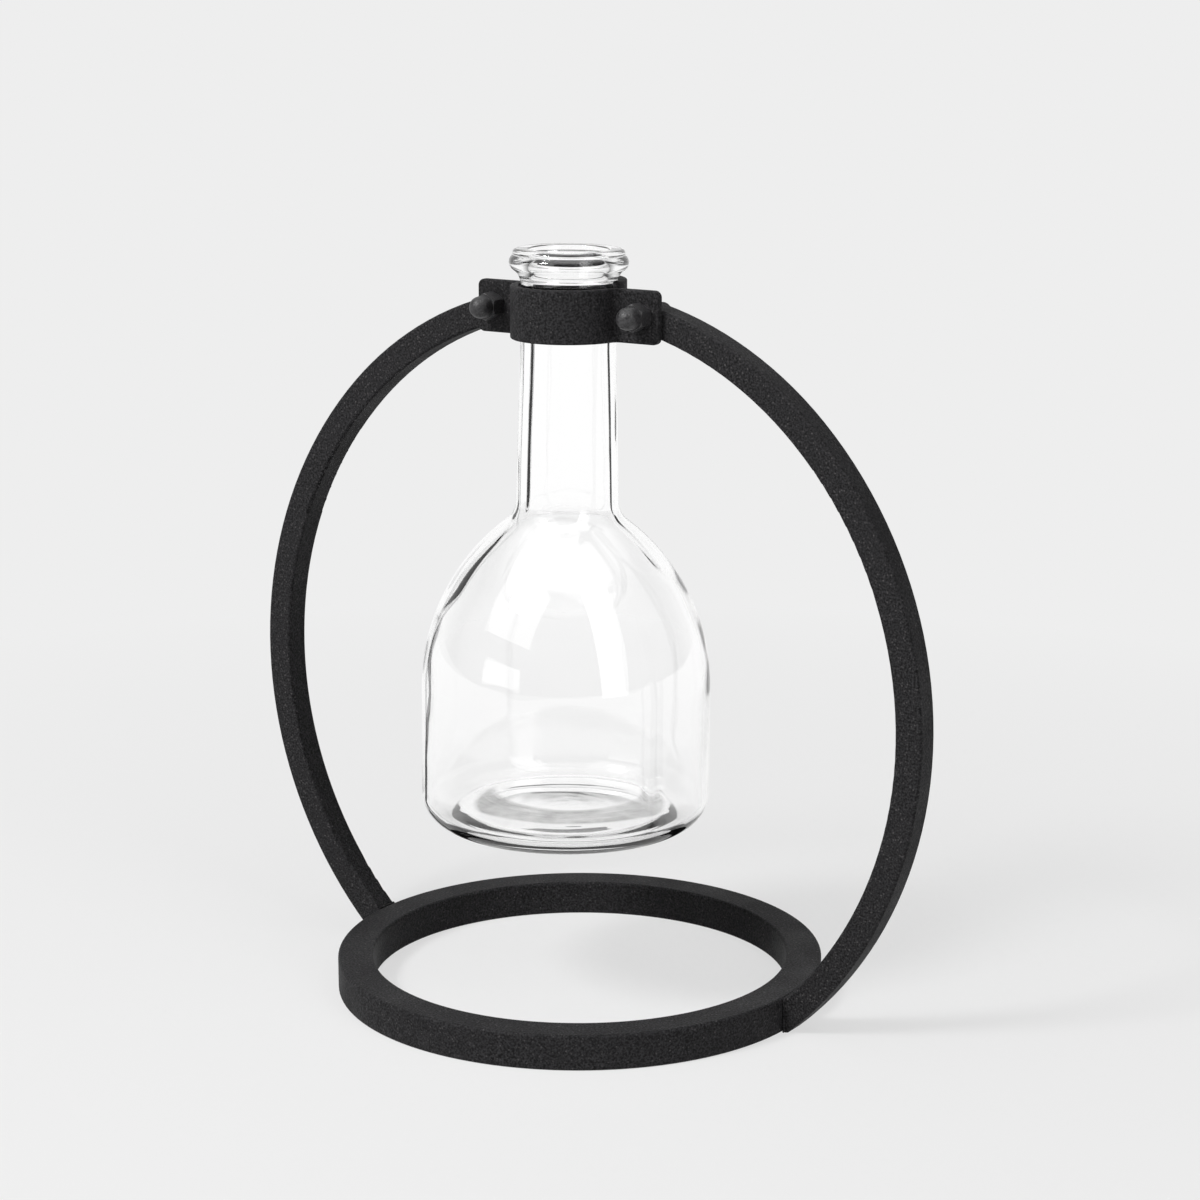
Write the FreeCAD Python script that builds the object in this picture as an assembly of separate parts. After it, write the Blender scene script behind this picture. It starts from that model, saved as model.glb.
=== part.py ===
import FreeCAD, Part
import math
import os

from FreeCAD import Vector

# Bottle vase hung in an upright hoop that stands on a level base ring.
# Millimetres, +Z up. The origin is the base ring's centre on the table, X runs along the hoop,
# and the collar's front strap faces -Y. The bottle's axis lies in the plane of the strap's ears.

# Driving dimensions of the stand
hoop_half_width = 93.7          # outer size of the upright hoop, a little taller than wide
hoop_half_height = 97.4
hoop_bar = 6.7                  # square bar of the hoop
ring_radius = 59.5              # outer radius of the base ring
ring_bar = 8.6                  # square bar of the base ring
bar_corner = 0.7                # rounded long edges of both bars
foot_flat = 0.5                 # flat spot where a foot of the hoop meets the table

# Driving dimensions of the collar
strap_width = 12.5              # height of the front strap
strap_thickness = 2.0
strap_bend_radius = 1.5         # inside radius of the bend from the bulge to an ear
strap_edge_round = 0.45
ear_reach = 25.2                # from the bottle's axis to the end of an ear
ear_corner = 1.6                # rounded corners at the end of an ear
rear_band_width = 13.95         # height of the rear half of the collar, level with the strap below
neck_clearance = 0.45           # radial play between the bottle's neck and the collar

# Driving dimensions of the fasteners
screw_offset = 20.5             # from the bottle's axis to a screw
screw_rise = 0.9                # how far a screw sits above the middle of the bar
collar_drop = 0.22              # middle of the collar below the screws
screw_radius = 1.5
screw_hole_clearance = 0.15     # radial, in the bar and in the ear
thread_clearance = 0.05         # radial, in the cap nut
nut_flats = 5.7                 # across flats, over the paint
nut_hex_height = 4.2
nut_dome_radius = 2.6
nut_dome_straight = 1.6         # straight part between the hexagon and the dome
nut_chamfer = 0.35
nut_bore_depth = 6.0
screw_tip_gap = 0.6             # between the screw's tip and the end of the nut's bore
screw_head_radius = 2.4
screw_head_height = 1.7
screw_head_crown = 0.6          # rounded rim of the head
screw_socket_flats = 2.0
screw_socket_depth = 1.1

# Driving dimensions of the welds
foot_weld_width = 0.6           # weld between the base ring and a foot of the hoop
collar_weld_width = 0.8         # from the rear band to the square end of a bar
weld_proud = 0.4                # how far a weld stands out past the bar
weld_fit = 0.05                 # gap that a weld keeps to a curved face

# Driving dimensions of the bottle
bottle_height = 138.45
body_radius = 34.7
body_corner = 7.5               # rounded bottom edge
shoulder_start = 33.2           # height where the straight wall ends
shoulder_radius = 51.4          # arc from the straight wall up to the neck
neck_radius = 11.25
neck_foot_radius = 12.2         # the neck is a little wider where it leaves the shoulder
neck_fillet = 6.0
neck_straight_start = 115.0     # height where the neck stops narrowing
lip_radius = 14.05
lip_lobe_radius = 2.1           # main bead of the lip
lip_flare_radius = 4.2          # hollow curve under the lip
rim_bead_radius = 1.1           # smaller bead on top of the lip
rim_radius = 13.2
glass_wall = 1.7
mouth_radius = 9.5
mouth_round = 0.6
base_thickness = 2.6            # beside the raised floor
floor_corner = 4.4              # rounded inner edge of the bottle's floor
floor_height = 4.1              # top of the raised floor
floor_disc_radius = 23.6        # level middle of the raised floor
punt_depth = 1.2                # hollow under the bottle

# Clearances and overruns
hang_gap = 0.55                 # lip above the rear band, at rest
lift_gap = 0.2                  # neck to collar at the top of the bottle's travel
overrun = 5.0                   # how far cutting tools run past what they cut

# Worked-out sizes
hoop_shift = (hoop_half_height - hoop_half_width) / (2 - math.sqrt(2))
hoop_end_radius = hoop_half_height - hoop_shift
ring_mid_radius = ring_radius - ring_bar / 2
foot_cut_radius = ring_radius + foot_weld_width
hoop_centre_height = hoop_shift + math.sqrt(hoop_end_radius**2 - (foot_cut_radius + foot_flat)**2)
hoop_top = hoop_centre_height + hoop_half_height
bar_arc_radius = hoop_end_radius - hoop_bar / 2
bar_middle_height = hoop_centre_height + hoop_shift + math.sqrt(bar_arc_radius**2 - screw_offset**2)
screw_height = bar_middle_height + screw_rise
collar_height = screw_height - collar_drop

collar_inner = neck_radius + neck_clearance
collar_outer = collar_inner + strap_thickness
bar_end = collar_outer + collar_weld_width
ear_back = -hoop_bar / 2
ear_front = ear_back - strap_thickness
axis_y = (ear_back + ear_front) / 2
rear_band_low = collar_height - strap_width / 2
rear_band_top = rear_band_low + rear_band_width
nut_bore_radius = screw_radius + thread_clearance

seat_drop = math.sqrt(lip_flare_radius**2 - (lip_flare_radius - neck_clearance)**2)
lobe_centre_radius = lip_radius - lip_lobe_radius
flare_centre_radius = neck_radius + lip_flare_radius
flare_to_lobe = math.sqrt((lip_flare_radius + lip_lobe_radius)**2 - (flare_centre_radius - lobe_centre_radius)**2)
rim_centre_radius = rim_radius - rim_bead_radius
rim_centre_height = bottle_height - rim_bead_radius
lobe_centre_height = rim_centre_height - lip_lobe_radius
flare_start = lobe_centre_height - flare_to_lobe
bottle_bottom = rear_band_top + hang_gap - flare_start - seat_drop

shoulder_centre_radius = body_radius - shoulder_radius
fillet_centre_radius = neck_foot_radius + neck_fillet
fillet_centre_height = shoulder_start + math.sqrt(
    (shoulder_radius + neck_fillet)**2 - (fillet_centre_radius - shoulder_centre_radius)**2)

punt_radius = body_radius - body_corner
punt_sag = (punt_radius**2 + punt_depth**2) / (2 * punt_depth)
floor_corner_radius = body_radius - glass_wall - floor_corner
step_run = (floor_corner_radius - floor_disc_radius) / 2
step_fall = (floor_height - base_thickness) / 2
step_radius = (step_run**2 + step_fall**2) / (2 * step_fall)


def point(radius, height):
    """A point of a profile that is turned about Z."""
    return Vector(radius, 0, height)


def on_circle(centre, radius, degrees):
    """A point on a circle in the XZ plane, counted from +X towards +Z."""
    angle = math.radians(degrees)
    return centre + Vector(radius * math.cos(angle), 0, radius * math.sin(angle))


def heading(start, end):
    """Direction from one point of the XZ plane to another, in degrees."""
    return math.degrees(math.atan2(end.z - start.z, end.x - start.x))


def line(start, end):
    return Part.LineSegment(start, end).toShape()


def arc(centre, radius, from_degrees, to_degrees):
    middle = (from_degrees + to_degrees) / 2
    stops = [on_circle(centre, radius, degrees) for degrees in (from_degrees, middle, to_degrees)]
    return Part.Arc(*stops).toShape()


def flat_arc(centre, radius, from_degrees, to_degrees):
    """An arc in a level plane."""
    stops = []
    for degrees in (from_degrees, (from_degrees + to_degrees) / 2, to_degrees):
        angle = math.radians(degrees)
        stops.append(centre + Vector(radius * math.cos(angle), radius * math.sin(angle), 0))
    return Part.Arc(*stops).toShape()


def turned(edges):
    """A solid turned about Z from a closed profile."""
    profile = Part.Face(Part.Wire(edges))
    return profile.revolve(Vector(0, 0, 0), Vector(0, 0, 1), 360)


def rounded_square(centre, across, outward, size, corner):
    """A square face with rounded corners, spanned by two directions."""
    half = size / 2
    inset = half - corner
    diagonal = corner * math.sqrt(0.5)
    edges = []
    signs = [(1, 1), (-1, 1), (-1, -1), (1, -1)]
    for index, (a, b) in enumerate(signs):
        corner_middle = centre + across * (a * (inset + diagonal)) + outward * (b * (inset + diagonal))
        side_point = centre + across * (a * half) + outward * (b * inset)
        top_point = centre + across * (a * inset) + outward * (b * half)
        first, last = (side_point, top_point) if index % 2 == 0 else (top_point, side_point)
        edges.append(Part.Arc(first, corner_middle, last).toShape())
        next_a, next_b = signs[(index + 1) % 4]
        if index % 2 == 0:
            start, end = top_point, centre + across * (next_a * inset) + outward * (next_b * half)
        else:
            start, end = side_point, centre + across * (next_a * half) + outward * (next_b * inset)
        edges.append(line(start, end))
    return Part.Face(Part.Wire(edges))


def box_between(low, high):
    return Part.makeBox(high.x - low.x, high.y - low.y, high.z - low.z, low)


def upright_cylinder(radius, y, low, high):
    return Part.makeCylinder(radius, high - low, Vector(0, y, low))


def cylinder_along_y(radius, x, z, start, end):
    """A round bar or hole along Y, from start to end."""
    return Part.makeCylinder(radius, end - start, Vector(x, start, z), Vector(0, 1, 0))


def hexagon_along_y(flats, x, z, start, end):
    """A hexagonal prism along Y, with a corner at the top."""
    corner_radius = flats / math.sqrt(3)
    corners = []
    for index in range(7):
        angle = math.radians(90 + 60 * index)
        corners.append(Vector(x + corner_radius * math.cos(angle), start, z + corner_radius * math.sin(angle)))
    face = Part.Face(Part.makePolygon(corners))
    return face.extrude(Vector(0, end - start, 0))


def turned_along_y(radii_and_places, x, z):
    """A solid turned about an axis along Y, from points (radius, y)."""
    points = [Vector(x + radius, y, z) for radius, y in radii_and_places]
    face = Part.Face(Part.makePolygon(points + points[:1]))
    return face.revolve(Vector(x, 0, z), Vector(0, 1, 0), 360)


def base_ring():
    section = rounded_square(point(ring_mid_radius, ring_bar / 2), Vector(1, 0, 0), Vector(0, 0, 1),
                             ring_bar, bar_corner)
    return section.revolve(Vector(0, 0, 0), Vector(0, 0, 1), 360)


def hoop_sweep(side, size, corner):
    """One side of a full hoop from its lowest to its highest point: three tangent arcs."""
    centre = Vector(0, 0, hoop_centre_height)
    lowest = centre - Vector(0, 0, hoop_half_height - hoop_bar / 2)
    section = rounded_square(lowest, Vector(0, 1, 0), Vector(0, 0, 1), size, corner)
    turning = Vector(0, -side, 0)
    below = centre - Vector(0, 0, hoop_shift)
    beside = centre - Vector(side * hoop_shift, 0, 0)
    above = centre + Vector(0, 0, hoop_shift)
    stretches = []
    for arc_centre, degrees in ((below, 45), (beside, 90), (above, 45)):
        stretches.append(section.revolve(arc_centre, turning, degrees))
        section = section.copy()
        section.rotate(arc_centre, turning, degrees)
    return stretches[0].multiFuse(stretches[1:]).removeSplitter()


def hoop_half(side):
    """Bar from a foot on the base ring up to the collar, with its screw hole."""
    bar = hoop_sweep(side, hoop_bar, bar_corner)
    bar = bar.cut(upright_cylinder(foot_cut_radius, 0, -hoop_half_height, hoop_centre_height))
    bar = bar.cut(box_between(Vector(-bar_end, -hoop_bar, hoop_centre_height),
                              Vector(bar_end, hoop_bar, hoop_top + overrun)))
    bar = bar.cut(box_between(Vector(-hoop_half_width, -hoop_bar, -hoop_half_height),
                              Vector(hoop_half_width, hoop_bar, 0)))
    hole = cylinder_along_y(screw_radius + screw_hole_clearance, side * screw_offset, screw_height,
                            -hoop_bar, hoop_bar)
    return bar.cut(hole)


def weld_bead(side, region):
    """Weld metal round the end of the hoop's bar, as far as a region reaches."""
    bead = hoop_sweep(side, hoop_bar + 2 * weld_proud, bar_corner + weld_proud)
    return bead.common(region)


def foot_weld(side):
    gap = upright_cylinder(foot_cut_radius - weld_fit, 0, 0, ring_bar)
    return weld_bead(side, gap.cut(upright_cylinder(ring_radius + weld_fit, 0, 0, ring_bar)))


def collar_weld(side):
    """Wedge of weld metal between the round band and the square end of the bar."""
    gap = box_between(Vector(weld_fit - bar_end, ear_back, hoop_centre_height),
                      Vector(bar_end - weld_fit, hoop_bar, hoop_top + overrun))
    return weld_bead(side, gap.cut(upright_cylinder(collar_outer + weld_fit, axis_y, hoop_centre_height,
                                                    hoop_top + overrun)))


def strap_path_offset(radius_change):
    """Edges along the front strap, from the right ear to the left, set off from its middle line."""
    middle_radius = (collar_inner + collar_outer) / 2
    bend = strap_bend_radius + strap_thickness / 2
    bend_y = axis_y - bend
    bend_x = math.sqrt((middle_radius + bend)**2 - bend**2)
    turn = math.degrees(math.atan2(bend, bend_x))
    edges = []
    level = collar_height - strap_width / 2
    right_bend = Vector(bend_x, bend_y, level)
    left_bend = Vector(-bend_x, bend_y, level)
    bend_radius = bend - radius_change
    y = bend_y + bend_radius
    edges.append(line(Vector(ear_reach, y, level), Vector(bend_x, y, level)))
    edges.append(flat_arc(right_bend, bend_radius, 90, 180 - turn))
    edges.append(flat_arc(Vector(0, axis_y, level), middle_radius + radius_change, -turn, turn - 180))
    edges.append(flat_arc(left_bend, bend_radius, turn, 90))
    edges.append(line(Vector(-bend_x, y, level), Vector(-ear_reach, y, level)))
    return edges


def collar_front():
    """Strap bent round the front of the neck, with a flat ear on each side."""
    front = strap_path_offset(strap_thickness / 2)
    back = strap_path_offset(-strap_thickness / 2)
    level = front[0].Vertexes[0].Point.z
    ends = []
    for side in (1, -1):
        ends.append(line(Vector(side * ear_reach, ear_front, level), Vector(side * ear_reach, ear_back, level)))
    outline = Part.Face(Part.Wire(Part.__sortEdges__(front + back + ends)))
    strap = outline.extrude(Vector(0, 0, strap_width))
    corners = []
    for edge in strap.Edges:
        middle = edge.CenterOfMass
        if abs(abs(middle.x) - ear_reach) < strap_thickness / 4 and abs(edge.tangentAt(edge.FirstParameter).y) > 0.5:
            corners.append(edge)
    strap = strap.makeFillet(ear_corner, corners)
    rims = []
    for edge in strap.Edges:
        heights = [vertex.Point.z for vertex in edge.Vertexes]
        level_edge = max(heights) - min(heights) < strap_edge_round / 10
        if level_edge and abs(abs(edge.CenterOfMass.z - collar_height) - strap_width / 2) < strap_edge_round / 10:
            rims.append(edge)
    long_rims = [edge for edge in rims if edge.Length > strap_thickness + strap_edge_round]
    strap = strap.makeFillet(strap_edge_round, long_rims)
    for side in (1, -1):
        strap = strap.cut(cylinder_along_y(screw_radius + screw_hole_clearance, side * screw_offset, screw_height,
                                           ear_front - overrun, ear_back + overrun))
    return strap


def collar_rear():
    """Half band behind the neck, its two ends just behind the front strap's bends."""
    band = upright_cylinder(collar_outer, axis_y, rear_band_low, rear_band_top)
    band = band.cut(upright_cylinder(collar_inner, axis_y, rear_band_low - overrun, rear_band_top + overrun))
    rims = [edge for edge in band.Edges if edge.Length > collar_inner * math.pi]
    band = band.makeFillet(strap_edge_round, rims)
    reach = collar_outer + overrun
    front_of_band = box_between(Vector(-reach, axis_y - reach, rear_band_low - overrun),
                                Vector(reach, ear_back + weld_fit, rear_band_top + overrun))
    return band.cut(front_of_band)


def clamp_screw(side):
    """Button-head screw from behind, through the bar and the ear into the cap nut."""
    x = side * screw_offset
    head_seat = hoop_bar / 2
    head_top = head_seat + screw_head_height
    tip = ear_front - nut_bore_depth + screw_tip_gap
    shank = cylinder_along_y(screw_radius, x, screw_height, tip, head_seat)
    head = cylinder_along_y(screw_head_radius, x, screw_height, head_seat, head_top)
    rim = [edge for edge in head.Edges
           if abs(edge.CenterOfMass.y - head_top) < screw_head_crown / 10 and len(edge.Vertexes) == 1]
    head = head.makeFillet(screw_head_crown, rim)
    socket = hexagon_along_y(screw_socket_flats, x, screw_height, head_top - screw_socket_depth, head_top + overrun)
    return shank.fuse(head.cut(socket)).removeSplitter()


def cap_nut(side):
    """Domed hexagon nut on the front of an ear, with a blind bore."""
    x = side * screw_offset
    hex_front = ear_front - nut_hex_height
    corner_radius = nut_flats / math.sqrt(3)
    prism = hexagon_along_y(nut_flats, x, screw_height, hex_front, ear_front)
    chamfer_cone = turned_along_y([
        (0, ear_front), (corner_radius - nut_chamfer, ear_front), (corner_radius, ear_front - nut_chamfer),
        (corner_radius, hex_front + nut_chamfer), (corner_radius - nut_chamfer, hex_front), (0, hex_front)],
        x, screw_height)
    dome_centre = hex_front - nut_dome_straight
    neck = cylinder_along_y(nut_dome_radius, x, screw_height, dome_centre, hex_front)
    dome = Part.makeSphere(nut_dome_radius, Vector(x, dome_centre, screw_height))
    nut = prism.common(chamfer_cone).fuse(neck).fuse(dome)
    bore = cylinder_along_y(nut_bore_radius, x, screw_height, ear_front - nut_bore_depth, ear_front + overrun)
    return nut.cut(bore).removeSplitter()


def bottle():
    """Blown bottle turned about Z: outside from its hollow foot to the rim, then the inside back down."""
    corner_centre = point(body_radius - body_corner, body_corner)
    shoulder_centre = point(shoulder_centre_radius, shoulder_start)
    fillet_centre = point(fillet_centre_radius, fillet_centre_height)
    flare_centre = point(flare_centre_radius, flare_start)
    lobe_centre = point(lobe_centre_radius, lobe_centre_height)
    rim_centre = point(rim_centre_radius, rim_centre_height)
    mouth_centre = point(mouth_radius + mouth_round, bottle_height - mouth_round)
    floor_centre = point(floor_corner_radius, base_thickness + floor_corner)
    inner_shoulder = shoulder_radius - glass_wall
    inner_fillet = neck_fillet + glass_wall

    shoulder_to_fillet = heading(shoulder_centre, fillet_centre)
    flare_to_lobe_heading = heading(flare_centre, lobe_centre)
    bead_gap = lobe_centre.distanceToPoint(rim_centre)
    along = (lip_lobe_radius**2 - rim_bead_radius**2 + bead_gap**2) / (2 * bead_gap)
    groove_angle = math.degrees(math.acos(along / lip_lobe_radius))
    bead_heading = heading(lobe_centre, rim_centre)
    groove = on_circle(lobe_centre, lip_lobe_radius, bead_heading - groove_angle)

    punt_centre = point(0, punt_depth - punt_sag)
    step_turn = math.degrees(math.asin(step_run / step_radius))
    step_foot_centre = point(floor_corner_radius, base_thickness + step_radius)
    step_top_centre = point(floor_disc_radius, floor_height - step_radius)

    outside = [
        arc(punt_centre, punt_sag, 90, heading(punt_centre, point(punt_radius, 0))),
        arc(corner_centre, body_corner, -90, 0),
        line(point(body_radius, body_corner), point(body_radius, shoulder_start)),
        arc(shoulder_centre, shoulder_radius, 0, shoulder_to_fillet),
        arc(fillet_centre, neck_fillet, 180 + shoulder_to_fillet, 180),
        line(point(neck_foot_radius, fillet_centre_height), point(neck_radius, neck_straight_start)),
        line(point(neck_radius, neck_straight_start), point(neck_radius, flare_start)),
        arc(flare_centre, lip_flare_radius, 180, flare_to_lobe_heading),
        arc(lobe_centre, lip_lobe_radius, flare_to_lobe_heading - 180, heading(lobe_centre, groove)),
        arc(rim_centre, rim_bead_radius, heading(rim_centre, groove), 90),
    ]
    neck_foot_inner = point(neck_foot_radius - glass_wall, fillet_centre_height)
    inside = [
        line(point(rim_centre_radius, bottle_height), point(mouth_radius + mouth_round, bottle_height)),
        arc(mouth_centre, mouth_round, 90, 180),
        line(point(mouth_radius, bottle_height - mouth_round), point(mouth_radius, neck_straight_start)),
        line(point(mouth_radius, neck_straight_start), neck_foot_inner),
        arc(fillet_centre, inner_fillet, 180, 180 + shoulder_to_fillet),
        arc(shoulder_centre, inner_shoulder, shoulder_to_fillet, 0),
        line(point(body_radius - glass_wall, shoulder_start), point(body_radius - glass_wall, floor_centre.z)),
        arc(floor_centre, floor_corner, 0, -90),
        arc(step_foot_centre, step_radius, -90, -90 - step_turn),
        arc(step_top_centre, step_radius, 90 - step_turn, 90),
        line(point(floor_disc_radius, floor_height), point(0, floor_height)),
        line(point(0, floor_height), point(0, punt_depth)),
    ]
    vessel = turned(outside + inside)
    vessel.translate(Vector(0, axis_y, bottle_bottom))
    return vessel


def bottle_lift():
    """Travel until the neck's widening part comes up into the collar."""
    taper = (neck_foot_radius - neck_radius) / (neck_straight_start - fillet_centre_height)
    widening_needed = neck_clearance - lift_gap
    meeting_height = bottle_bottom + neck_straight_start - widening_needed / taper
    return rear_band_low - meeting_height


def save(name, solids):
    shape = solids[0] if len(solids) == 1 else Part.makeCompound(solids)
    shape.exportStep(f"parts/{name}.step")
    volume = sum(solid.Volume for solid in solids)
    print(f"{name}: {len(shape.Solids)} solid(s), {volume:.1f} mm3, valid {shape.isValid()}")


os.makedirs("parts", exist_ok=True)
sides = {"left": -1, "right": 1}
save("base_ring", [base_ring()])
for name, side in sides.items():
    save(f"hoop_{name}", [hoop_half(side)])
    save(f"foot_weld_{name}", [foot_weld(side)])
    save(f"collar_weld_{name}", [collar_weld(side)])
save("collar_front", [collar_front()])
save("collar_rear", [collar_rear()])
save("clamp_screws", [clamp_screw(side) for side in sides.values()])
save("cap_nuts", [cap_nut(side) for side in sides.values()])
save("bottle", [bottle()])
print(f"hoop centre {hoop_centre_height:.2f}, screw height {screw_height:.2f}, bottle bottom {bottle_bottom:.2f}")
print(f"bottle lift {bottle_lift():.2f}, flare start {flare_start:.2f}, lobe {lobe_centre_height:.2f}")
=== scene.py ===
import bpy
import math
from mathutils import Matrix, Vector, noise


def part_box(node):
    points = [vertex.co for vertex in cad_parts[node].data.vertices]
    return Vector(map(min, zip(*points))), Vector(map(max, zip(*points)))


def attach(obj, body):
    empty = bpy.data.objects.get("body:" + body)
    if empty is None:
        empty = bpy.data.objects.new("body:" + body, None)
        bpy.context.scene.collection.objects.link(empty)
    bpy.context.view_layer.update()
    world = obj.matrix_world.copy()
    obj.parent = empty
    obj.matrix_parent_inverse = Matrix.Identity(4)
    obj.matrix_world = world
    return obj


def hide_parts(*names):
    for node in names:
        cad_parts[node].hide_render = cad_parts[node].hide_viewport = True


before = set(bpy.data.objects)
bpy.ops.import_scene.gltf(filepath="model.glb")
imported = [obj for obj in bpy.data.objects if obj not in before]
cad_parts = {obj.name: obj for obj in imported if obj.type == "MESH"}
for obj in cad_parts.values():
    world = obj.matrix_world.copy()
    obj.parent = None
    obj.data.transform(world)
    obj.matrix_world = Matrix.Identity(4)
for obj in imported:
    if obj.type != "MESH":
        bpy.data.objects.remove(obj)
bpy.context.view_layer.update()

# Clear bottle vase hung by its lip in the collar of a black hoop that stands on a base ring.
# Metres, in the frame's own axes: +Z up, X along the hoop, the collar's cap nuts towards -Y.

MM = 0.001

# Camera
camera_place = Vector((0.3702, -0.5636, 0.2486))
camera_aim = Vector((0.0040, 0.0030, 0.0965))
camera_lens = 86.27
camera_sensor = 36
camera_nearest = 0.01
camera_sight = camera_aim - camera_place
camera_bearing = math.atan2(camera_place.y, camera_place.x)
towards_camera = Vector((camera_place.x, camera_place.y, 0)).normalized()

# Stage
paper_size = 12
paper_colour = 0.8
paper_white = 0.855             # what the camera sees of the backdrop
paper_through_glass = 1.0       # what is seen of it through the glass
paper_glow_near = 0.89          # glow of the floor beside the stand
shadow_start = 0.08             # distance from the stand's middle where the shading starts to fade
shadow_reach = 0.42             # and where it has faded out
shadow_share = 0.3
room_grey = 0.08                # the room in front, between the windows
room_fill = 0.03                # soft light from all sides
backdrop_edge_share = 0.3       # how far round the white backdrop reaches behind the stand
backdrop_full_share = 0.7
ceiling_edge_share = 0.62       # the pale ceiling, by the upward share of the direction
ceiling_full_share = 0.78
lamp_aim = Vector((0, 0, 0.1))

# Bottle, in millimetres above its own foot
bottle_height = 138.45
body_radius = 34.7
body_corner = 7.5
shoulder_start = 33.2
shoulder_radius = 51.4
neck_radius = 11.25
neck_foot_radius = 12.2
neck_fillet = 6.0
neck_straight_start = 115.0
lip_radius = 14.05
lip_low_height = 127.2          # from here up the wall is even
lip_lobe_radius = 2.1
lip_flare_radius = 4.2
rim_bead_radius = 1.1
rim_radius = 13.2
glass_wall = 1.7
mouth_radius = 9.5
mouth_round = 0.6
base_thickness = 2.6            # beside the raised floor
floor_corner = 4.4
floor_height = 4.1              # the raised floor, above the foot
floor_disc_radius = 23.6
punt_depth = 1.2                # hollow under the bottom
bottle_turns = 240              # points in one ring round the bottle
on_axis = 1e-6                  # a smaller radius is a single point
bottle_lean = math.radians(0.5)  # it hangs a little to the left in its collar
bottle_low, bottle_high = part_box("bottle")
bottle_foot = bottle_low.z / MM
bottle_axis_y = (bottle_low.y + bottle_high.y) / 2

# Blown glass: how far its inner wall and its bottom vary, in millimetres
wall_variation = 0.16
wall_waves_round = 1.3
wall_waves_up = 1 / 24          # for each millimetre of height
wall_fine_share = 0.4
wall_fine_scale = 3.1
streak_height = 0.02
streak_size = 2.2
streak_run = 1.6
streak_middle = 3 * streak_size  # towards the axis the swirls fade out over this radius

# Runs of thicker glass: degrees from the camera's side and across, depth and height in millimetres
ridge_end = 6                   # each run fades out over this height
ridges = (
    {"bearing": -61, "width": 8, "depth": 0.45, "low": 75, "high": 126},
    {"bearing": 68, "width": 4, "depth": 0.22, "low": 75, "high": 126},
    {"bearing": -80, "width": 12, "depth": 0.6, "low": 52, "high": 75},
    {"bearing": 74, "width": 8, "depth": 0.4, "low": 60, "high": 80},
    {"bearing": 38, "width": 4, "depth": 0.25, "low": 10, "high": 52},
)

# Painted shade on the raised floor, grey and streaky, in millimetres, between two arcs about a point
# behind the axis
painted_shade_offset = 13.0
painted_shade_inner = 19.5
painted_shade_outer = 29.0
painted_shade_soft = 1.6
painted_shade_level = 0.6                # how far above and below the floor it is looked for
painted_shade_faintest = 0.7
# the grey that is painted into the glass's colour as shade
painted_shade_grey = (0.08, 0.08, 0.076, 1)

# Powder coat
coat_dark = 0.003
coat_pale = 0.036
coat_cloud = 0.024
coat_cloud_most = 0.35
speck_colour = (0.082, 0.078, 0.079, 1)

# Welds
weld_nodes = ("foot_weld_left", "foot_weld_right", "collar_weld_left", "collar_weld_right")
weld_voxel = 0.15 * MM
lump_size = 1.1 * MM
lump_height = 0.28 * MM


def add_object(name, data):
    added = bpy.data.objects.new(name, data)
    bpy.context.scene.collection.objects.link(added)
    return added


# Profiles of the bottle

def on_circle(centre, radius, degrees):
    angle = math.radians(degrees)
    return (centre[0] + radius * math.cos(angle), centre[1] + radius * math.sin(angle))


def heading(start, end):
    return math.degrees(math.atan2(end[1] - start[1], end[0] - start[0]))


def arc(centre, radius, start, end, steps):
    """Points along an arc, its first point left out."""
    return [on_circle(centre, radius, start + (end - start) * step / steps)
            for step in range(1, steps + 1)]


def straight(start, end, steps):
    """Points along a line, its first point left out."""
    run = end[0] - start[0]
    rise = end[1] - start[1]
    return [(start[0] + run * step / steps, start[1] + rise * step / steps)
            for step in range(1, steps + 1)]


def step_down(start, end, steps):
    """Points along an S curve of two equal arcs, level at both ends, its first point left out."""
    run = (end[0] - start[0]) / 2
    fall = (start[1] - end[1]) / 2
    radius = (run**2 + fall**2) / (2 * fall)
    upper_centre = (start[0], start[1] - radius)
    lower_centre = (end[0], end[1] + radius)
    turn = math.degrees(math.asin(run / radius))
    upper = arc(upper_centre, radius, 90, 90 - turn, steps)
    return upper + arc(lower_centre, radius, 270 - turn, 270, steps)


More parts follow.
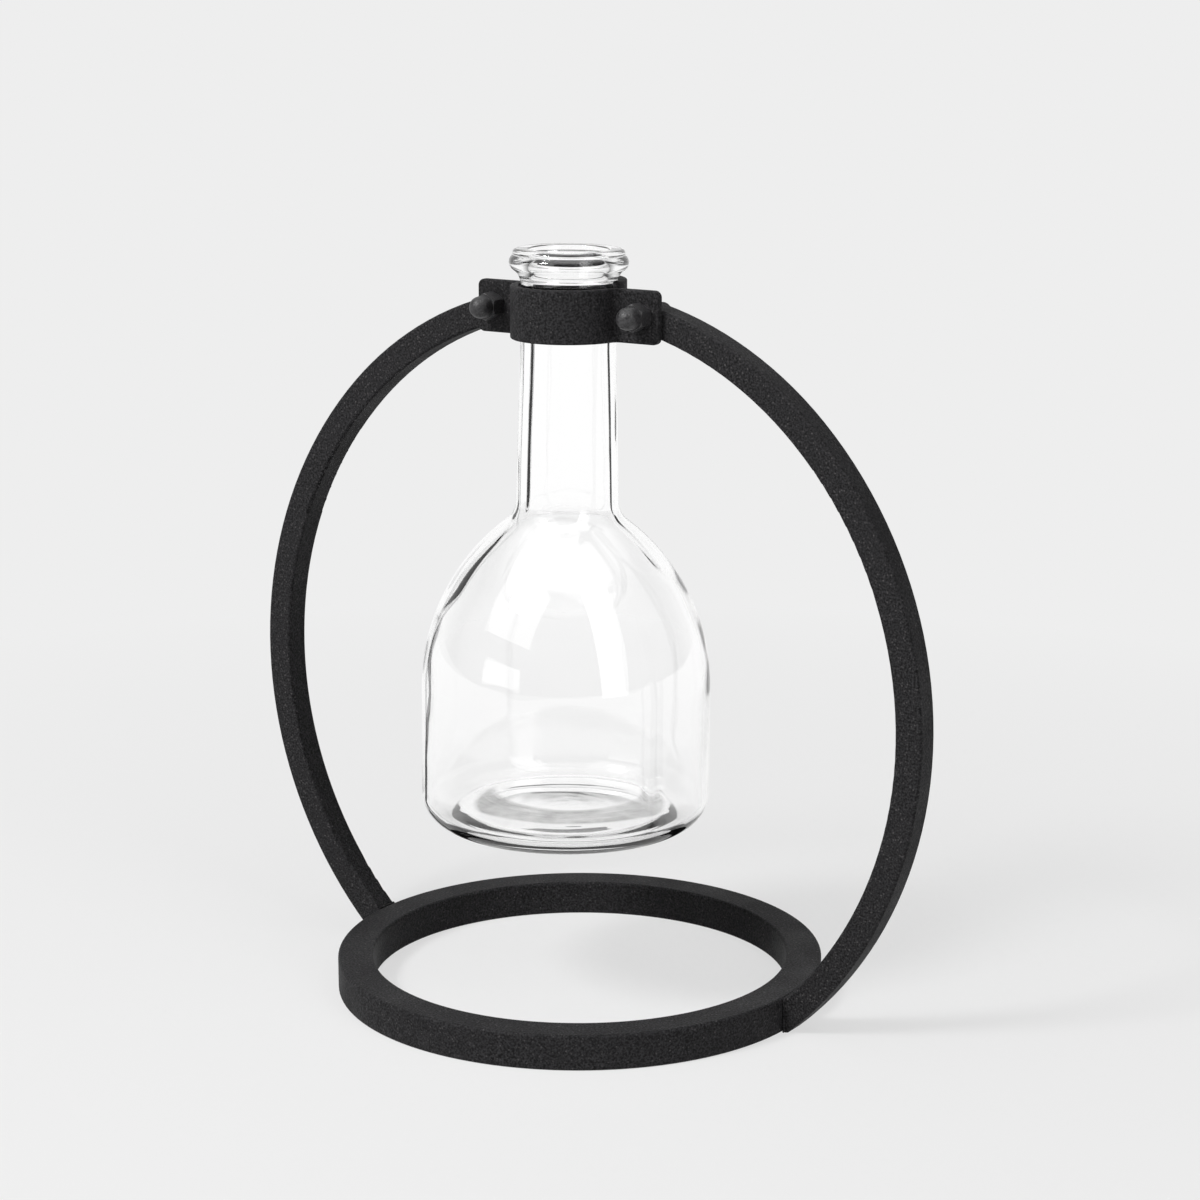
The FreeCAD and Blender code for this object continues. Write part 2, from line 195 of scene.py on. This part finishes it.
def bottle_profile():
    """Outside points from the middle of the foot to the rim, and inside points down to the floor."""
    corner_centre = (body_radius - body_corner, body_corner)
    shoulder_centre = (body_radius - shoulder_radius, shoulder_start)
    fillet_x = neck_foot_radius + neck_fillet
    fillet_run = fillet_x - shoulder_centre[0]
    fillet_z = shoulder_start + math.sqrt((shoulder_radius + neck_fillet)**2 - fillet_run**2)
    fillet_centre = (fillet_x, fillet_z)
    shoulder_to_fillet = heading(shoulder_centre, fillet_centre)

    rim_centre = (rim_radius - rim_bead_radius, bottle_height - rim_bead_radius)
    lobe_centre = (lip_radius - lip_lobe_radius, rim_centre[1] - lip_lobe_radius)
    flare_x = neck_radius + lip_flare_radius
    flare_run = flare_x - lobe_centre[0]
    flare_rise = math.sqrt((lip_flare_radius + lip_lobe_radius)**2 - flare_run**2)
    flare_centre = (flare_x, lobe_centre[1] - flare_rise)
    flare_to_lobe = heading(flare_centre, lobe_centre)
    bead_gap = math.dist(lobe_centre, rim_centre)
    along = (lip_lobe_radius**2 - rim_bead_radius**2 + bead_gap**2) / (2 * bead_gap)
    groove_angle = math.degrees(math.acos(along / lip_lobe_radius))
    groove_heading = heading(lobe_centre, rim_centre) - groove_angle
    groove = on_circle(lobe_centre, lip_lobe_radius, groove_heading)

    punt_radius = body_radius - body_corner
    punt_sag = (punt_radius**2 + punt_depth**2) / (2 * punt_depth)
    punt_centre = (0, punt_depth - punt_sag)
    punt_end = heading(punt_centre, (punt_radius, 0))

    neck_low = (neck_radius, neck_straight_start)
    outside = [(0, punt_depth)]
    outside += arc(punt_centre, punt_sag, 90, punt_end, steps=60)
    outside += arc(corner_centre, body_corner, -90, 0, steps=16)
    outside += straight((body_radius, body_corner), (body_radius, shoulder_start), steps=16)
    outside += arc(shoulder_centre, shoulder_radius, 0, shoulder_to_fillet, steps=48)
    outside += arc(fillet_centre, neck_fillet, 180 + shoulder_to_fillet, 180, steps=12)
    outside += straight((neck_foot_radius, fillet_z), neck_low, steps=20)
    outside += straight(neck_low, (neck_radius, flare_centre[1]), steps=12)
    outside += arc(flare_centre, lip_flare_radius, 180, flare_to_lobe, steps=10)
    outside += arc(lobe_centre, lip_lobe_radius, flare_to_lobe - 180, groove_heading, steps=16)
    outside += arc(rim_centre, rim_bead_radius, heading(rim_centre, groove), 90, steps=12)

    mouth_centre = (mouth_radius + mouth_round, bottle_height - mouth_round)
    bore_low = (mouth_radius, neck_straight_start)
    neck_foot_inner = (neck_foot_radius - glass_wall, fillet_z)
    floor_centre = (body_radius - glass_wall - floor_corner, base_thickness + floor_corner)
    step_top = (floor_disc_radius, floor_height)
    inside = arc(mouth_centre, mouth_round, 90, 180, steps=8)
    inside += straight(inside[-1], bore_low, steps=16)
    inside += straight(bore_low, neck_foot_inner, steps=20)
    inside += arc(fillet_centre, neck_fillet + glass_wall, 180, 180 + shoulder_to_fillet, steps=12)
    inside += arc(shoulder_centre, shoulder_radius - glass_wall, shoulder_to_fillet, 0, steps=48)
    inside += straight(inside[-1], (body_radius - glass_wall, floor_centre[1]), steps=12)
    inside += arc(floor_centre, floor_corner, 0, -90, steps=16)
    inside += step_down(step_top, inside[-1], steps=10)[-2::-1]
    inside += [step_top] + straight(step_top, (0, floor_height), steps=50)
    return outside, inside


# Bottle

def ridge(angle, height, bearing, width, depth, low, high):
    """A run of thicker glass up the inside, at a bearing counted from the camera's side."""
    place = camera_bearing + math.radians(bearing)
    away = math.atan2(math.sin(angle - place), math.cos(angle - place))
    lower_end = min(1, max(0, (height - low) / ridge_end))
    upper_end = min(1, max(0, (high - height) / ridge_end))
    return -depth * lower_end * upper_end * math.exp(-(away / math.radians(width))**2)


def wall_change(angle, height):
    """How far the inner wall lies outside its planned radius, in millimetres."""
    place = Vector((wall_waves_round * math.cos(angle), wall_waves_round * math.sin(angle),
                    wall_waves_up * height))
    fine = wall_fine_share * noise.noise(place * wall_fine_scale)
    change = wall_variation * (noise.noise(place) + fine)
    for run in ridges:
        change += ridge(angle, height, **run)
    return change


def floor_streak(radius, angle):
    """Slight swirls in both faces of the bottom, in millimetres."""
    place = Vector((radius / streak_size, streak_run * math.cos(angle),
                    streak_run * math.sin(angle)))
    from_axis = min(1, radius / streak_middle)
    from_edge = min(1, max(0, (floor_disc_radius - radius) / streak_size))
    return streak_height * from_axis * from_edge * noise.noise(place)


def blown_point(radius, height, angle, is_inside):
    """A point of the upright bottle in metres, with the unevenness of blown glass."""
    blown = radius
    if is_inside and height < lip_low_height:
        blown += wall_change(angle, height) * min(1, radius / neck_radius)
    level = height
    if radius < floor_disc_radius and height <= floor_height:
        level += floor_streak(radius, angle) * (1 if height == floor_height else -1)
    x = blown * math.cos(angle) * MM
    y = blown * math.sin(angle) * MM
    return (x, bottle_axis_y + y, (bottle_foot + level) * MM)


def turned_bottle():
    """Points and faces of the profile turned round the bottle's axis."""
    outside, inside = bottle_profile()
    points = []
    rings = []
    for index, (radius, height) in enumerate(outside + inside):
        first = len(points)
        if radius < on_axis:
            points.append((0, bottle_axis_y, (bottle_foot + height) * MM))
        else:
            for turn in range(bottle_turns):
                angle = 2 * math.pi * turn / bottle_turns
                points.append(blown_point(radius, height, angle, index >= len(outside)))
        rings.append(range(first, len(points)))
    faces = []
    for lower, upper in zip(rings, rings[1:]):
        for turn in range(bottle_turns):
            following = (turn + 1) % bottle_turns
            if len(lower) == 1:
                faces.append((lower[0], upper[following], upper[turn]))
            elif len(upper) == 1:
                faces.append((lower[turn], lower[following], upper[0]))
            else:
                faces.append((lower[turn], lower[following], upper[following], upper[turn]))
    return points, faces


def lean_in_collar(mesh):
    """Tips the bottle to the left about the collar's middle, and keeps its top at the same height."""
    collar_low, collar_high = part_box("collar_front")
    pivot = Vector((0, bottle_axis_y, (collar_low.z + collar_high.z) / 2))
    view = camera_sight.normalized()
    lean = Matrix.Rotation(bottle_lean, 4, Vector((view.x, view.y, 0)))
    mesh.transform(Matrix.Translation(pivot) @ lean @ Matrix.Translation(-pivot))
    raised = max(vertex.co.z for vertex in mesh.vertices) - bottle_high.z
    mesh.transform(Matrix.Translation((0, 0, -raised)))


def make_bottle(material):
    points, faces = turned_bottle()
    mesh = bpy.data.meshes.new("bottle_glass")
    mesh.from_pydata(points, [], faces)
    mesh.shade_smooth()
    mesh.materials.append(material)
    lean_in_collar(mesh)
    piece = add_object("bottle_glass", mesh)
    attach(piece, "bottle")
    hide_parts("bottle")


# Welds

def lumpy_weld(node_name, material):
    """The weld's own block with an uneven, flowed surface."""
    piece = add_object(node_name + "_bead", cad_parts[node_name].data.copy())
    even = piece.modifiers.new("even", "REMESH")
    even.mode = "VOXEL"
    even.voxel_size = weld_voxel
    bpy.context.view_layer.update()
    seen = piece.evaluated_get(bpy.context.evaluated_depsgraph_get())
    mesh = bpy.data.meshes.new_from_object(seen)
    piece.modifiers.clear()
    piece.data = mesh
    for vertex in mesh.vertices:
        vertex.co += vertex.normal * lump_height * noise.noise(vertex.co / lump_size)
        vertex.co.z = max(vertex.co.z, 0)
    mesh.shade_smooth()
    mesh.materials.clear()
    mesh.materials.append(material)
    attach(piece, "stand")
    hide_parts(node_name)


# Shading nodes

def empty_tree(owner):
    """The node tree of a new material or world, emptied."""
    owner.use_nodes = True
    owner.node_tree.nodes.clear()
    return owner.node_tree


def object_place(tree):
    return tree.nodes.new("ShaderNodeTexCoord").outputs["Object"]


def texture(tree, place, scale, detail):
    cloud = tree.nodes.new("ShaderNodeTexNoise")
    cloud.inputs["Scale"].default_value = scale
    cloud.inputs["Detail"].default_value = detail
    tree.links.new(place, cloud.inputs["Vector"])
    return cloud.outputs["Fac"]


def cells(tree, place, scale):
    """The outputs of a texture of scattered cells."""
    scattered = tree.nodes.new("ShaderNodeTexVoronoi")
    scattered.inputs["Scale"].default_value = scale
    tree.links.new(place, scattered.inputs["Vector"])
    return scattered.outputs


def spread(tree, value, start, end, first=0, last=1):
    """Goes from first to last while the value goes from start to end."""
    change = tree.nodes.new("ShaderNodeMapRange")
    change.inputs["From Min"].default_value = start
    change.inputs["From Max"].default_value = end
    change.inputs["To Min"].default_value = first
    change.inputs["To Max"].default_value = last
    tree.links.new(value, change.inputs["Value"])
    return change.outputs["Result"]


def blend(tree, share, first, second):
    """Mix of two colours, each a colour or another node's output."""
    mix = tree.nodes.new("ShaderNodeMix")
    mix.data_type = "RGBA"
    tree.links.new(share, mix.inputs["Factor"])
    for name, colour in (("A", first), ("B", second)):
        if isinstance(colour, tuple):
            mix.inputs[name].default_value = colour
        else:
            tree.links.new(colour, mix.inputs[name])
    return mix.outputs["Result"]


def combine(tree, operation, first, second):
    """The number that an operation makes of two others."""
    step = tree.nodes.new("ShaderNodeMath")
    step.operation = operation
    tree.links.new(first, step.inputs[0])
    tree.links.new(second, step.inputs[1])
    return step.outputs[0]


def compare_with(tree, operation, vector, fixed):
    """The number that an operation finds between a vector and a fixed one."""
    step = tree.nodes.new("ShaderNodeVectorMath")
    step.operation = operation
    tree.links.new(vector, step.inputs[0])
    step.inputs[1].default_value = fixed
    return step.outputs["Value"]


def upward(tree, vector):
    """The Z share of a place or a direction."""
    parts = tree.nodes.new("ShaderNodeSeparateXYZ")
    tree.links.new(vector, parts.inputs[0])
    return parts.outputs["Z"]


def bump(tree, height, strength, depth):
    """A node that raises the surface where the height is greater."""
    raised = tree.nodes.new("ShaderNodeBump")
    raised.inputs["Strength"].default_value = strength
    raised.inputs["Distance"].default_value = depth
    tree.links.new(height, raised.inputs["Height"])
    return raised


def ray_share(tree, names):
    """1 for the rays of the named kinds, 0 for all others."""
    path = tree.nodes.new("ShaderNodeLightPath")
    share = path.outputs[names[0]]
    for name in names[1:]:
        share = combine(tree, "MAXIMUM", share, path.outputs[name])
    return share


def grey(value):
    return (value, value, value, 1)


def black(value):
    """Nearly neutral black, a little bluer than it is green."""
    return (value, value * 0.975, value * 1.03, 1)


# Materials

def new_material(name):
    material = bpy.data.materials.new(name)
    tree = empty_tree(material)
    output = tree.nodes.new("ShaderNodeOutputMaterial")
    shader = tree.nodes.new("ShaderNodeBsdfPrincipled")
    tree.links.new(shader.outputs["BSDF"], output.inputs["Surface"])
    return material, shader


def powder_coat(name, paleness, gloss, smoothest, roughest):
    """Matt black powder coat: fine sandy grain, soft clouds, paler specks and a few small pits."""
    material, shader = new_material(name)
    tree = material.node_tree
    place = object_place(tree)
    grain = texture(tree, place, scale=2100, detail=2)
    cloud = texture(tree, place, scale=70, detail=4)
    specks = cells(tree, place, scale=1500)
    pits = cells(tree, place, scale=95)

    grain_share = spread(tree, grain, start=0.36, end=0.66)
    sandy = blend(tree, grain_share, black(coat_dark * paleness), black(coat_pale * paleness))
    cloud_share = spread(tree, cloud, start=0.35, end=0.7, last=coat_cloud_most)
    cloudy = blend(tree, cloud_share, sandy, black(coat_cloud * paleness))
    speck_size = spread(tree, specks["Distance"], start=0.15, end=0.42, first=1, last=0)
    speck_kind = spread(tree, specks["Color"], start=0.60, end=0.95)
    speck_share = combine(tree, "MULTIPLY", speck_size, speck_kind)
    speckled = blend(tree, speck_share, cloudy, speck_colour)
    roughness = spread(tree, cloud, start=0.3, end=0.7, first=smoothest, last=roughest)
    tree.links.new(speckled, shader.inputs["Base Color"])
    tree.links.new(roughness, shader.inputs["Roughness"])
    shader.inputs["Specular IOR Level"].default_value = gloss

    pit_share = spread(tree, pits["Distance"], start=0.05, end=0.12, first=1, last=0)
    grainy = bump(tree, grain, strength=0.55, depth=0.16 * MM)
    pitted = bump(tree, pit_share, strength=0.5, depth=0.2 * MM)
    pitted.invert = True
    tree.links.new(grainy.outputs["Normal"], pitted.inputs["Normal"])
    tree.links.new(pitted.outputs["Normal"], shader.inputs["Normal"])
    return material


def painted_floor_shade(tree, place):
    """Share of the painted shade, in streaks: a crescent on the camera's side of the raised floor."""
    floor_middle = Vector((0, bottle_axis_y, (bottle_foot + floor_height) * MM))
    painted_shade_middle = floor_middle - towards_camera * painted_shade_offset * MM
    away = compare_with(tree, "DISTANCE", place, painted_shade_middle)
    outer = spread(tree, away, start=painted_shade_outer * MM, end=(painted_shade_outer + painted_shade_soft) * MM,
                   first=1, last=0)
    inner = spread(tree, away, start=(painted_shade_inner - painted_shade_soft) * MM, end=painted_shade_inner * MM)
    off_axis = compare_with(tree, "DISTANCE", place, floor_middle)
    on_disc = spread(tree, off_axis, start=(floor_disc_radius - painted_shade_soft) * MM,
                     end=floor_disc_radius * MM, first=1, last=0)

    streaks = tree.nodes.new("ShaderNodeCombineXYZ")
    tree.links.new(away, streaks.inputs["X"])
    fine = texture(tree, streaks.outputs[0], scale=1500, detail=2)
    broad = texture(tree, place, scale=160, detail=3)
    fine_share = spread(tree, fine, start=0.3, end=0.6, first=painted_shade_faintest)
    broad_share = spread(tree, broad, start=0.35, end=0.6, first=painted_shade_faintest)

    on_floor = tree.nodes.new("ShaderNodeMath")
    on_floor.operation = "COMPARE"
    tree.links.new(upward(tree, place), on_floor.inputs[0])
    on_floor.inputs[1].default_value = floor_middle.z
    on_floor.inputs[2].default_value = painted_shade_level * MM
    painted_shade_share = on_floor.outputs[0]
    for share in (outer, inner, on_disc, fine_share, broad_share):
        painted_shade_share = combine(tree, "MULTIPLY", painted_shade_share, share)
    return painted_shade_share


def clear_glass():
    """Clear blown glass with a faintly wavy skin."""
    material, shader = new_material("clear_glass")
    tree = material.node_tree
    place = object_place(tree)
    shader.inputs["IOR"].default_value = 1.5
    shader.inputs["Transmission Weight"].default_value = 1.0
    # the glass's colour is darkened where the painted shade lies on the raised floor
    base_with_painted_shade = blend(tree, painted_floor_shade(tree, place), grey(1), painted_shade_grey)
    smear = texture(tree, place, scale=45, detail=3)
    roughness = spread(tree, smear, start=0.55, end=0.8, last=0.02)
    waves = texture(tree, place, scale=55, detail=1)
    wavy = bump(tree, waves, strength=0.25, depth=0.2 * MM)
    tree.links.new(base_with_painted_shade, shader.inputs["Base Color"])
    tree.links.new(roughness, shader.inputs["Roughness"])
    tree.links.new(wavy.outputs["Normal"], shader.inputs["Normal"])
    return material


# Stage

def make_world():
    """White backdrop behind, pale ceiling above and dark room in front, as glass and coat see them."""
    world = bpy.data.worlds.new("studio")
    bpy.context.scene.world = world
    tree = empty_tree(world)
    output = tree.nodes.new("ShaderNodeOutputWorld")
    background = tree.nodes.new("ShaderNodeBackground")
    tree.links.new(background.outputs["Background"], output.inputs["Surface"])
    direction = tree.nodes.new("ShaderNodeTexCoord").outputs["Generated"]
    facing = compare_with(tree, "DOT_PRODUCT", direction, camera_sight.normalized())
    behind = spread(tree, facing, backdrop_edge_share, backdrop_full_share)
    around = blend(tree, behind, grey(room_grey), grey(paper_through_glass))
    above = spread(tree, upward(tree, direction), ceiling_edge_share, ceiling_full_share)
    around = blend(tree, above, around, grey(paper_through_glass))
    looked_through = ray_share(tree, ["Is Glossy Ray", "Is Transmission Ray"])
    lit = blend(tree, looked_through, grey(room_fill), around)
    seen = blend(tree, ray_share(tree, ["Is Camera Ray"]), lit, grey(paper_white))
    tree.links.new(seen, background.inputs["Color"])


def make_floor():
    """White paper that glows evenly, shaded only near the stand."""
    bpy.ops.mesh.primitive_plane_add(size=paper_size)
    floor = bpy.context.object
    floor.name = "floor"
    material = bpy.data.materials.new("floor_paper")
    tree = empty_tree(material)
    output = tree.nodes.new("ShaderNodeOutputMaterial")
    paper = tree.nodes.new("ShaderNodeBsdfDiffuse")
    paper.inputs["Color"].default_value = grey(paper_colour)
    glow = tree.nodes.new("ShaderNodeEmission")
    from_stand = compare_with(tree, "DISTANCE", object_place(tree), Vector((0, 0, 0)))
    level = spread(tree, from_stand, shadow_start, shadow_reach, paper_glow_near, paper_white)
    in_glass = ray_share(tree, ["Is Transmission Ray", "Is Glossy Ray"])
    seen = blend(tree, in_glass, level, grey(paper_through_glass))
    tree.links.new(seen, glow.inputs["Color"])

    unshaded = spread(tree, from_stand, shadow_start, shadow_reach, first=1 - shadow_share)
    looked_at = ray_share(tree, ["Is Camera Ray", "Is Transmission Ray", "Is Glossy Ray"])
    mix = tree.nodes.new("ShaderNodeMixShader")
    tree.links.new(combine(tree, "MULTIPLY", looked_at, unshaded), mix.inputs["Fac"])
    tree.links.new(paper.outputs["BSDF"], mix.inputs[1])
    tree.links.new(glow.outputs["Emission"], mix.inputs[2])
    tree.links.new(mix.outputs["Shader"], output.inputs["Surface"])
    floor.data.materials.append(material)


def softbox(name, turn, height, distance, wide, tall, strength):
    """A rectangle of light: its bearing from -Y, height and size are angles seen from its aim."""
    across = math.radians(turn)
    up = math.radians(height)
    bearing = Vector((math.sin(across) * math.cos(up), -math.cos(across) * math.cos(up),
                      math.sin(up)))
    light = bpy.data.lights.new(name, "AREA")
    light.shape = "RECTANGLE"
    light.size = 2 * distance * math.tan(math.radians(wide / 2))
    light.size_y = 2 * distance * math.tan(math.radians(tall / 2))
    light.energy = strength * light.size * light.size_y * math.pi
    lamp = add_object(name, light)
    lamp.location = lamp_aim + bearing * distance
    lamp.rotation_euler = (-bearing).to_track_quat("-Z", "Y").to_euler()


def make_camera():
    camera = add_object("camera", bpy.data.cameras.new("camera"))
    camera.data.lens = camera_lens
    camera.data.sensor_width = camera_sensor
    camera.data.clip_start = camera_nearest
    camera.location = camera_place
    camera.rotation_euler = camera_sight.to_track_quat("-Z", "Y").to_euler()
    bpy.context.scene.camera = camera


# Making

paint = powder_coat("powder_coat", paleness=1, gloss=0.12, smoothest=0.58, roughest=0.76)
nut_paint = powder_coat("nut_paint", paleness=1.35, gloss=0.5, smoothest=0.36, roughest=0.5)
for name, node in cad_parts.items():
    if name != "bottle":
        node.data.materials.clear()
        node.data.materials.append(nut_paint if name == "cap_nuts" else paint)
for name in weld_nodes:
    lumpy_weld(name, paint)
make_bottle(clear_glass())
make_world()
make_floor()
softbox("key", turn=-24, height=44, distance=1.3, wide=13, tall=13, strength=40)
softbox("window_left", turn=-22, height=40, distance=1.2, wide=44, tall=34, strength=1.2)
softbox("ceiling", turn=10, height=80, distance=1.2, wide=80, tall=46, strength=0.7)
softbox("window_right", turn=72, height=27, distance=1.2, wide=24, tall=60, strength=2.1)
softbox("window_low", turn=-20, height=6, distance=1.4, wide=32, tall=10, strength=1.6)
make_camera()
bpy.context.scene.view_settings.view_transform = "Standard"
